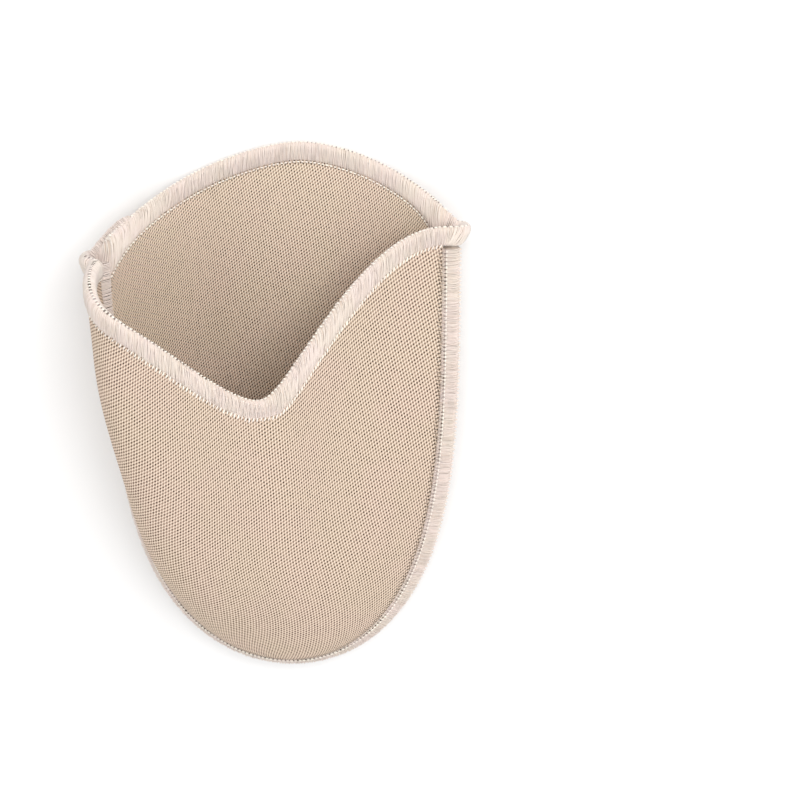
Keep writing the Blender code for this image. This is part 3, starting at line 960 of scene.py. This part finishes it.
class ToePadThread(bpy.types.PropertyGroup):
    """Threads of the overlocked edges"""
    radius: length_setting("Thread radius", "Half the thickness of a thread", 0.20)
    stitch_pitch: length_setting("Stitch pitch", "Distance from one needle stitch to the next", 1.0)
    colour: colour_setting("Colour", "Colour of the thread", (0.88, 0.79, 0.71))
    tint: colour_setting("Tint", "Second tone of the thread", (0.88, 0.75, 0.72))
    shadow: colour_setting("Shadow", "Colour of the deeper strands", (0.70, 0.59, 0.50))
    needle_colour: colour_setting("Needle thread", "Colour of the needle stitches", (0.97, 0.93, 0.82))
    # Painted shade: the dark colour of beads set in the hollows between stitches, where there is only shade
    hollow_shade_colour: colour_setting("Hollow", "Thread that shows deep between stitches", (0.10, 0.065, 0.045))
    seed: IntProperty(name="Seed", description="Start of the threads' random unevenness", default=7)


class ToePadStage(bpy.types.PropertyGroup):
    """Light, floor and camera"""
    key: FloatProperty(name="Key light", description="Power of the large soft light", default=3.9,
                       unit="POWER")
    fill: FloatProperty(name="Fill light", description="Power of the weaker light", default=0.7,
                        unit="POWER")
    sky: FloatProperty(name="Surround", description="Strength of the even white surround", default=0.86)
    floor_colour: colour_setting("Floor", "Colour of the floor", (0.97, 0.97, 0.97))


# Pieces

def panel_grid(panel):
    """Points of a panel's middle surface, with the shares of its width that they stand for."""
    surface, edge_station = MOUTH_EDGES[panel]
    across = np.linspace(-1, 1, CLOTH_ACROSS + 1)
    along = np.linspace(0, 1, CLOTH_ALONG + 1)[:, None]
    end = inset_station(surface, edge_station, across, BAND_WIDTH - CLOTH_TUCK)
    share, station = np.broadcast_arrays(across, end * along**ALONG_POWER)
    return surface(share, station), share


def cloth_maps(grid, share, panel, grain, pitch):
    """UV maps of a panel: its flat cut, and its mouth and side borders.

    A border map runs along in stitches, and away from the border in metres.
    """
    rows, columns = (np.linalg.norm(np.diff(grid, axis=axis), axis=-1) for axis in (1, 0))
    across = np.cumsum(np.pad(rows, ((0, 0), (1, 0))), axis=1)
    down = np.cumsum(np.pad(columns, ((1, 0), (0, 0))), axis=0)
    half = grid.shape[1] // 2
    middle = across[:, half:half + 1]
    forward = grid[..., 1]
    height = (np.interp(forward, forward[:, half], down[:, half])
              + np.clip(forward - forward[-1, half], 0, None))
    stretch_across, stretch_along, turn = grain
    flat_x, flat_y = (across - middle) / stretch_across, height / stretch_along
    cut = np.stack([flat_x * math.cos(turn) - flat_y * math.sin(turn),
                    flat_x * math.sin(turn) + flat_y * math.cos(turn)], -1)
    run = run_of(mouth_lines(panel, LINE_STATIONS)[:, 2])
    at = np.interp(share, np.linspace(-1, 1, LINE_STATIONS), run) / run[-1] * stitch_count(run[-1], pitch)
    mouth = np.stack([at, down[-1] - down], -1)
    points = stitch_line()[0]
    run = run_of(points)
    toe = np.argmin(points[:, 1])
    at_left = across < middle
    at = np.where(at_left, np.interp(forward, points[toe::-1, 1], run[toe::-1]),
                  np.interp(forward, points[toe:, 1], run[toe:]))
    away = np.where(at_left, across, across[:, -1:] - across)
    side = np.stack([at / run[-1] * stitch_count(run[-1], pitch), away], -1)
    return {"cut": cut, "mouth": mouth, "side": side}


def cloth_panel(context, panel):
    """One knit wall of the pad."""
    grain, tone, flat, flat_share = CLOTHS[panel]
    grid, share = panel_grid(panel)
    maps = cloth_maps(grid, share, panel, grain, context.scene.toe_pad_thread.stitch_pitch)
    piece = new_object(panel + "_cloth", grid_mesh(panel + "_cloth", grid, maps))
    piece.data.materials.append(knit_material(panel + " knit", context.scene.toe_pad_knit, tone))
    walled(piece, CLOTH)
    carried(piece, "knit_fabric", panel + "_panel")


def laid_core(thread, name, centre, across, outwards, width, half_height, closed, *nodes):
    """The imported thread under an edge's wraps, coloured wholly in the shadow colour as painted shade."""
    core = swept(name, centre, across, outwards, width / 2 - CORE_INSET, half_height, closed)
    core.data.materials.append(thread_material("packed thread", thread))
    carried(core, "overlock_thread", *nodes)


def wrap_row(thread, name, centre, across, outwards, row=None, widths=None, axes=1):
    """Threads wound round an edge. With widths given, as many of their axes as asked follow them."""
    width, thickness, seed, sway, unevenness, *nodes = WRAP_ROWS[row or name]
    scale = np.ones((len(centre), 3))
    if widths is not None:
        scale[:, :axes] = (widths / width)[:, None]
    sizes = {"Width": width - 2 * thread.radius, "Height": thickness - 2 * thread.radius,
             "Rounding": thickness * WRAP_ROUNDING, "Thread Radius": thread.radius}
    made = stitches(thread, name, "thread wraps", centre, across, outwards, sizes, "pale thread",
                    seed, sway, unevenness, scale)
    carried(made, "overlock_thread", *nodes)


def short_row(thread, name, points, first, second, row=None, scale=1.0):
    """Short stitches on points, lying along the first direction and flat to the second."""
    length, width, height, material, seed, sway, unevenness = SHORT_ROWS[row or name]
    sizes = {"Length": length * MM, "Width": width * MM, "Height": height * MM}
    made = stitches(thread, name, "short stitches", points, first, second, sizes, material,
                    seed, sway, unevenness, scale)
    carried(made, "overlock_thread")


def fold_threads():
    """Distances of the extra threads that fill the band's turns at the ears."""
    run = run_of(band_lines()[:, 1])
    turns_at = [run[first:first + FOLD_STATIONS]
                for first in (LINE_STATIONS, 2 * LINE_STATIONS + FOLD_STATIONS)]
    return np.concatenate([np.linspace(turn[0] - FOLD_OVERLAP, turn[-1] + FOLD_OVERLAP, FOLD_STATIONS)
                           for turn in turns_at]) % run[-1]


def hollow_shade_sizes(share):
    """Sizes of the dark beads of painted shade in the hollows at shares of the way round the mouth, 0 where
    the purls lie close.
    """
    return sum(size * ((share > start) & (share < end)) for start, end, size in OPEN_PURLS)


class TOEPAD_OT_vamp(bpy.types.Operator):
    """Make the notched upper wall of knit"""
    bl_idname = "toe_pad.vamp"
    bl_label = "Vamp cloth"

    def execute(self, context):
        cloth_panel(context, "vamp")
        return {"FINISHED"}


class TOEPAD_OT_sole(bpy.types.Operator):
    """Make the domed lower wall of knit"""
    bl_idname = "toe_pad.sole"
    bl_label = "Sole cloth"

    def execute(self, context):
        cloth_panel(context, "sole")
        return {"FINISHED"}


class TOEPAD_OT_mouth_band(bpy.types.Operator):
    """Wind the thread band round the mouth"""
    bl_idname = "toe_pad.mouth_band"
    bl_label = "Mouth band"

    def execute(self, context):
        thread = context.scene.toe_pad_thread
        length = band_length()
        centre, across, outwards, width = band_frames(np.linspace(0, length, CORE_STATIONS + 1)[:-1])
        laid_core(thread, "rim_core", centre, across, outwards, width,
                  BAND_THICKNESS / 2 - CORE_INSET, True, "mouth_rim")
        distance = np.concatenate([grouped(length, thread.stitch_pitch), fold_threads()])
        centre, across, outwards, width = band_frames(distance)
        wrap_row(thread, "rim_wraps", centre, across, outwards, widths=width)
        return {"FINISHED"}


class TOEPAD_OT_ear_roll(bpy.types.Operator):
    """Lay the end of the left ear's fold along the dome"""
    bl_idname = "toe_pad.ear_roll"
    bl_label = "Ear roll"

    def execute(self, context):
        thread = context.scene.toe_pad_thread
        lines = band_lines()
        right_fold_end = LINE_STATIONS + FOLD_STATIONS
        dome = lines[right_fold_end:right_fold_end + LINE_STATIONS][::-1]
        tip = lines[right_fold_end + LINE_STATIONS + FOLD_STATIONS // 2].mean(0)
        reached, inset = np.array(EAR_ROLL_PATH).T
        outer, inner = along_line(dome[:, 0], EAR_ROLL_LENGTH * reached, dome[:, 2])
        ends = outer + (inner - outer) * inset[:, None]
        share = np.linspace(0, 1, LINE_STATIONS)[:, None]
        path = ((1 - share) ** 3 * tip + 3 * share * (1 - share) ** 2 * ends[0]
                + 3 * share**2 * (1 - share) * ends[1] + share**3 * ends[2])
        path = path + np.cross(UP, unit(path[-1] - path[0])) * EAR_ROLL_BULGE * np.sin(math.pi * share)
        direction = unit(np.gradient(path, axis=0))
        sideways = unit(np.cross(direction, UP))
        widths = EAR_ROLL_WIDTH + (EAR_ROLL_END - EAR_ROLL_WIDTH) * share
        distance = grouped(run_of(path)[-1], thread.stitch_pitch)
        centre, run_direction, across, width = along_line(path, distance, direction, sideways, widths)
        outwards = unit(np.cross(run_direction, across))
        width = width[:, 0]
        wrap_row(thread, "ear_roll_threads", centre, across, outwards, widths=width, axes=2)
        border = spaced(distance[-1], thread.stitch_pitch)
        at, run_direction, inwards, full = along_line(path, border, direction, sideways, widths)
        # Dark dots of painted shade along the roll's inner border
        dots = at + inwards * full / 2 * EAR_DOTS_SIDE + UP * (BAND_THICKNESS * EAR_DOTS_LIFT)
        short_row(thread, "ear_roll_hollows", dots, run_direction, inwards)
        laid_core(thread, "ear_roll_core", centre, across, outwards, width, EAR_ROLL_END / 2, False)
        return {"FINISHED"}


class TOEPAD_OT_side_seam(bpy.types.Operator):
    """Wind the thread round the seam that joins the walls"""
    bl_idname = "toe_pad.side_seam"
    bl_label = "Side seam"

    def execute(self, context):
        thread = context.scene.toe_pad_thread
        points, inwards, upwards = stitch_line(CORE_STATIONS)
        to_middle = (FLANGE_WIDTH - SEAM_TUCK) / 2
        laid_core(thread, "seam_core", points - inwards * to_middle, -inwards, upwards,
                  FLANGE_WIDTH + SEAM_TUCK, FLANGE_THICKNESS / 2 - CORE_INSET, False, "side_seam")
        points, inwards, upwards = stitch_line()
        outer = points - inwards * FLANGE_WIDTH
        distance = grouped(run_of(outer)[-1], thread.stitch_pitch)
        _, points, inwards, upwards = along_line(outer, distance, points, inwards, upwards)
        wrap_row(thread, "seam_wraps", points - inwards * to_middle, -inwards, upwards)
        station = np.linspace(INNER_THREADS_START, INNER_THREADS_END, LINE_STATIONS)
        for side, side_name in ((-1, "left"), (1, "right")):
            points, _, inwards, upwards = seam_frame(station, side)
            points = points + ear_pull(np.array(float(side)), station) + inwards * INNER_THREADS_REACH
            distance = grouped(run_of(points)[-1], thread.stitch_pitch)
            centre, inwards, upwards = along_line(points, distance, inwards, upwards)
            wrap_row(thread, side_name + "_inner_threads", centre, inwards, upwards, row="inner_threads")
        return {"FINISHED"}


class TOEPAD_OT_needle_stitches(bpy.types.Operator):
    """Set the needle stitches, looper teeth and purls along the overlocked edges"""
    bl_idname = "toe_pad.needle_stitches"
    bl_label = "Needle stitches"

    def execute(self, context):
        thread = context.scene.toe_pad_thread
        pitch = thread.stitch_pitch
        for panel, outside in (("vamp", 1), ("sole", -1)):
            outer, _, inner = np.moveaxis(mouth_lines(panel, LINE_STATIONS), 1, 0)
            run_direction = unit(np.gradient(inner, axis=0))
            inner, outer, run_direction = along_line(inner, spaced(run_of(inner)[-1], pitch), outer,
                                                     run_direction)
            across = unit(outer - inner)
            lift = unit(np.cross(run_direction, across)) * outside * FACE_STITCH_LIFT
            short_row(thread, panel + "_needle_row", inner + across * NEEDLE_SHIFT - lift,
                      run_direction, across, row="needle_row")
            short_row(thread, panel + "_looper_teeth", inner + across * TEETH_SHIFT + lift,
                      across + run_direction * TEETH_LEAN, run_direction, row="looper_teeth")
        length = band_length()
        purls_at = spaced(length, pitch)
        centre, across, outwards, width = band_frames(purls_at)
        short_row(thread, "rim_purls", centre + across * (width[:, None] / 2 - PURL_SINK),
                  np.cross(across, outwards), across)
        # Dark beads of painted shade in the hollows between the purls, where they stand apart
        between = purls_at + length / len(purls_at) / 2
        sizes = hollow_shade_sizes(between / length)
        centre, across, outwards, width = band_frames(between[sizes > 0])
        short_row(thread, "rim_purl_hollows", centre + across * (width[:, None] / 2 - PURL_HOLLOW_SHADE_SINK),
                  np.cross(across, outwards), across, scale=sizes[sizes > 0][:, None])
        points, inwards, upwards = stitch_line()
        run_direction = unit(np.gradient(points, axis=0))
        points, inwards, upwards, run_direction = along_line(
            points, spaced(run_of(points)[-1], pitch), inwards, upwards, run_direction)
        lift = upwards * (FLANGE_THICKNESS / 2 - SEAM_NEEDLE_SINK)
        row = points - inwards * SEAM_NEEDLE_SHIFT
        short_row(thread, "seam_under_row", row - lift, run_direction, inwards)
        short_row(thread, "seam_needle_row", row + lift, run_direction, inwards)
        # Dark beads of painted shade in the hollows between the seam's needle stitches
        short_row(thread, "seam_needle_hollows",
                  row + lift + run_direction * (pitch / 2) + inwards * SEAM_HOLLOW_SHADE_SHIFT,
                  run_direction, inwards)
        short_row(thread, "seam_purls", points - inwards * (FLANGE_WIDTH + SEAM_PURL_REACH),
                  run_direction, inwards)
        return {"FINISHED"}


# Stage

FLOOR_SIZE = 3.0
FLOOR_DROP = 0.0001  # keeps the floor's face apart from the sole's
FLOOR_GRAIN = 0.985  # how much deeper the floor is in its grain
LIGHT_SIZE = 0.6
LIGHT_TARGET = Vector((0, 0, 0.01))
# Place of each light, named after the setting that holds its power
LIGHTS = {"key": Vector((0.28, 0.46, 0.74)), "fill": Vector((-0.2, -0.45, 0.7))}


def soft_light(name, place, power):
    """A large square light aimed at the pad."""
    data = bpy.data.lights.new(name, "AREA")
    data.energy = power
    data.size = LIGHT_SIZE
    light = bpy.data.objects.new(name, data)
    light.location = place
    light.rotation_euler = (LIGHT_TARGET - place).to_track_quat("-Z", "Y").to_euler()
    bpy.context.scene.collection.objects.link(light)


def floor_material(colour):
    """Pale, even floor with the faintest grain."""
    material, tree, shader = new_material("pale floor", roughness=0.9, sheen=0.0, specular=0.1)
    grain = output(tree, "ShaderNodeTexNoise", {"Vector": own_place(tree), "Scale": 40.0, "Detail": 2.0})
    shade = blended(tree, grain, (*colour, 1.0), toned(colour, FLOOR_GRAIN))
    tree.links.new(shade, shader.inputs["Base Color"])
    return material


# The photograph's camera: 22 degrees off the floor's normal towards the mouth, a little from the right
CAMERA_TURN = math.radians(2)
CAMERA_TILT = math.radians(22)
CAMERA_DISTANCE = 0.700
IMAGE_PIXELS = 800
PIXEL_AT_TOE = 0.000256  # metres to a pixel at that distance
TOE_PIXEL = (290, 654)  # where the toe's stitch shows, from the upper left
TOE_POINT = np.array([0.0, 0.0, TOE_HEIGHT]) + PLACE
SENSOR = 36.0  # millimetres


def photo_camera():
    """A camera at the photograph's angle and distance, with no shift."""
    sin_turn, cos_turn = math.sin(CAMERA_TURN), math.cos(CAMERA_TURN)
    sin_tilt, cos_tilt = math.sin(CAMERA_TILT), math.cos(CAMERA_TILT)
    back = np.array([sin_turn * cos_tilt, sin_tilt, cos_turn * cos_tilt])
    right = np.array([cos_turn, 0.0, -sin_turn])
    up = np.cross(back, right)
    x = (TOE_PIXEL[0] - IMAGE_PIXELS / 2) * PIXEL_AT_TOE
    y = (IMAGE_PIXELS / 2 - TOE_PIXEL[1]) * PIXEL_AT_TOE
    eye = TOE_POINT + back * CAMERA_DISTANCE - right * x - up * y
    data = bpy.data.cameras.new("photo camera")
    data.sensor_width = SENSOR
    data.lens = SENSOR * CAMERA_DISTANCE / (IMAGE_PIXELS * PIXEL_AT_TOE)
    data.clip_start = 0.01
    data.clip_end = 20
    camera = bpy.data.objects.new("photo camera", data)
    turned = Matrix((right, up, back)).transposed().to_4x4()
    camera.matrix_world = Matrix.Translation(Vector(eye)) @ turned
    bpy.context.scene.collection.objects.link(camera)
    bpy.context.scene.camera = camera


class TOEPAD_OT_stage(bpy.types.Operator):
    """Set the floor, the soft light and the camera"""
    bl_idname = "toe_pad.stage"
    bl_label = "Stage"

    def execute(self, context):
        stage = context.scene.toe_pad_stage
        net = bmesh.new()
        bmesh.ops.create_grid(net, x_segments=2, y_segments=2, size=FLOOR_SIZE)
        mesh = bpy.data.meshes.new("floor")
        net.to_mesh(mesh)
        net.free()
        mesh.materials.append(floor_material(stage.floor_colour))
        floor = new_object("floor", mesh)
        floor.location.z = -FLOOR_DROP
        for key, place in LIGHTS.items():
            soft_light(key + " light", place, getattr(stage, key))
        world = bpy.data.worlds.new("white surround")
        world.use_nodes = True
        background = world.node_tree.nodes["Background"]
        background.inputs["Color"].default_value = (1.0, 1.0, 1.0, 1.0)
        background.inputs["Strength"].default_value = stage.sky
        context.scene.world = world
        context.scene.view_settings.view_transform = "Standard"
        photo_camera()
        return {"FINISHED"}


class TOEPAD_PT_sidebar(bpy.types.Panel):
    """The toe pad's operators"""
    bl_idname = "TOEPAD_PT_sidebar"
    bl_label = "Toe pad"
    bl_space_type = "VIEW_3D"
    bl_region_type = "UI"
    bl_category = "Toe pad"

    def draw(self, context):
        for settings in (context.scene.toe_pad_knit, context.scene.toe_pad_thread,
                         context.scene.toe_pad_stage):
            box = self.layout.box()
            for name in settings.__annotations__:
                box.prop(settings, name)
        for operator in OPERATORS:
            self.layout.operator(operator.bl_idname)


OPERATORS = (TOEPAD_OT_stage, TOEPAD_OT_vamp, TOEPAD_OT_sole, TOEPAD_OT_mouth_band,
             TOEPAD_OT_ear_roll, TOEPAD_OT_side_seam, TOEPAD_OT_needle_stitches)
SETTINGS = {"toe_pad_knit": ToePadKnit, "toe_pad_thread": ToePadThread, "toe_pad_stage": ToePadStage}


def register():
    for settings in SETTINGS.values():
        bpy.utils.register_class(settings)
    for name, settings in SETTINGS.items():
        setattr(bpy.types.Scene, name, PointerProperty(type=settings))
    for shown in (*OPERATORS, TOEPAD_PT_sidebar):
        bpy.utils.register_class(shown)


def unregister():
    for shown in (TOEPAD_PT_sidebar, *reversed(OPERATORS)):
        bpy.utils.unregister_class(shown)
    for name, settings in SETTINGS.items():
        delattr(bpy.types.Scene, name)
        bpy.utils.unregister_class(settings)


def main():
    register()
    for operator in OPERATORS:
        group, name = operator.bl_idname.split(".")
        getattr(getattr(bpy.ops, group), name)()


if __name__ == "__main__":
    main()
